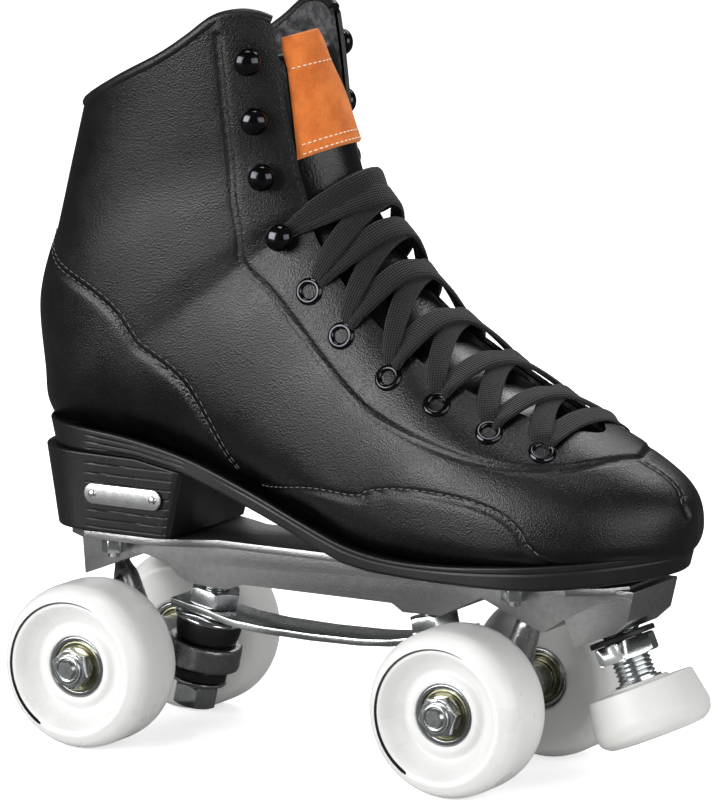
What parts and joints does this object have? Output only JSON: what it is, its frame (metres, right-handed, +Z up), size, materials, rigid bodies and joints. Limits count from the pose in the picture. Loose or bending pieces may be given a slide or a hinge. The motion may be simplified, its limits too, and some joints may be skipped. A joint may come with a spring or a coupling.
{
  "type": "quad roller skate",
  "caption": "High-top lace-up roller skate: boot on a cast plate, sprung trucks, side-by-side wheels on ball bearings and an angled toe stop.",
  "frame": {"origin": "middle of the skate's outline, on the ground the wheels stand on", "axes": "+X to the toe, +Y to the inner side of a right foot, +Z up"},
  "size_m": [0.2668, 0.1092, 0.2669],
  "materials": {
    "upper_leather": "semi-gloss, fine pebble grain",
    "tongue_leather": "glossy, smooth",
    "suede": "matt nap",
    "felt": "matt felt",
    "lace_weave": "matt flat weave",
    "sole_rubber": "satin, fine grooves",
    "black_rubber": "satin",
    "stop_rubber": "satin",
    "urethane": "gloss",
    "cast_aluminium": "as cast, lightly polished",
    "tumbled_aluminium": "tumbled",
    "zinc": "bright zinc plate",
    "bearing_steel": "ground steel with gold-tinted shields",
    "chrome": "polished",
    "black_nickel": "polished black"
  },
  "bodies": {
    "boot_and_plate": {"plate": "cast_aluminium", "rear_outer_mounting_bolt": "zinc", "rear_inner_mounting_bolt": "zinc", "front_outer_mounting_bolt": "zinc", "front_inner_mounting_bolt": "zinc", "kingpin_brace": "zinc", "rear_pivot_cup": "black_rubber", "rear_kingpin": "zinc", "rear_lower_cup_washer": "chrome", "rear_lower_cushion": "black_rubber", "rear_upper_cushion": "black_rubber", "rear_upper_cup_washer": "chrome", "rear_lock_nut": "zinc", "front_pivot_cup": "black_rubber", "front_kingpin": "zinc", "front_lower_cup_washer": "chrome", "front_lower_cushion": "black_rubber", "front_upper_cushion": "black_rubber", "front_upper_cup_washer": "chrome", "front_lock_nut": "zinc", "toe_stop_washer": "black_rubber", "toe_stop_jam_nut": "zinc", "outsole": "sole_rubber", "heel": "sole_rubber", "heel_badge": "chrome", "boot_upper": "upper_leather", "insole": "felt", "tongue": "tongue_leather", "tongue_tab": "suede", "lace": "lace_weave", "outer_lace_hook_1": "black_nickel", "inner_lace_hook_1": "black_nickel", "outer_lace_hook_2": "black_nickel", "inner_lace_hook_2": "black_nickel", "outer_lace_hook_3": "black_nickel", "inner_lace_hook_3": "black_nickel", "outer_lace_hook_4": "black_nickel", "inner_lace_hook_4": "black_nickel"},
    "rear_outer_wheel": {"rear_outer_wheel": "urethane", "rear_outer_outboard_bearing": "bearing_steel", "rear_outer_inboard_bearing": "bearing_steel"},
    "rear_inner_wheel": {"rear_inner_wheel": "urethane", "rear_inner_outboard_bearing": "bearing_steel", "rear_inner_inboard_bearing": "bearing_steel"},
    "front_outer_wheel": {"front_outer_wheel": "urethane", "front_outer_outboard_bearing": "bearing_steel", "front_outer_inboard_bearing": "bearing_steel"},
    "front_inner_wheel": {"front_inner_wheel": "urethane", "front_inner_outboard_bearing": "bearing_steel", "front_inner_inboard_bearing": "bearing_steel"},
    "rear_truck": {"rear_truck_hanger": "tumbled_aluminium", "rear_axle": "zinc", "rear_outer_axle_nut": "zinc", "rear_inner_axle_nut": "zinc"},
    "front_truck": {"front_truck_hanger": "tumbled_aluminium", "front_axle": "zinc", "front_outer_axle_nut": "zinc", "front_inner_axle_nut": "zinc"},
    "toe_stop": {"toe_stop_stem": "zinc", "toe_stop_pad": "stop_rubber"}
  },
  "joints": [
    {"name": "rear_truck_steer", "type": "hinge", "parent": "boot_and_plate", "child": "rear_truck", "pos_m": [-0.06893, 0, 0.03], "axis": [-0.7321, 0, 0.6812], "range_deg": [-8, 8], "stiffness_Nm_per_rad": 30, "deforming": ["rear_upper_cushion", "rear_lower_cushion"]},
    {"name": "front_truck_steer", "type": "hinge", "parent": "boot_and_plate", "child": "front_truck", "pos_m": [0.03107, 0, 0.03], "axis": [0.7321, 0, 0.6812], "range_deg": [-8, 8], "stiffness_Nm_per_rad": 30, "deforming": ["front_upper_cushion", "front_lower_cushion"]},
    {"name": "rear_outer_wheel_spin", "type": "hinge", "parent": "rear_truck", "child": "rear_outer_wheel", "pos_m": [-0.09393, -0.035, 0.03], "axis": [0, 1, 0], "continuous": true},
    {"name": "rear_inner_wheel_spin", "type": "hinge", "parent": "rear_truck", "child": "rear_inner_wheel", "pos_m": [-0.09393, 0.035, 0.03], "axis": [0, 1, 0], "continuous": true},
    {"name": "front_outer_wheel_spin", "type": "hinge", "parent": "front_truck", "child": "front_outer_wheel", "pos_m": [0.05607, -0.035, 0.03], "axis": [0, 1, 0], "continuous": true},
    {"name": "front_inner_wheel_spin", "type": "hinge", "parent": "front_truck", "child": "front_inner_wheel", "pos_m": [0.05607, 0.035, 0.03], "axis": [0, 1, 0], "continuous": true},
    {"name": "toe_stop_height", "type": "slide", "parent": "boot_and_plate", "child": "toe_stop", "axis": [0.4067, 0, -0.9135], "range_m": [-0.004, 0.004]}
  ]
}
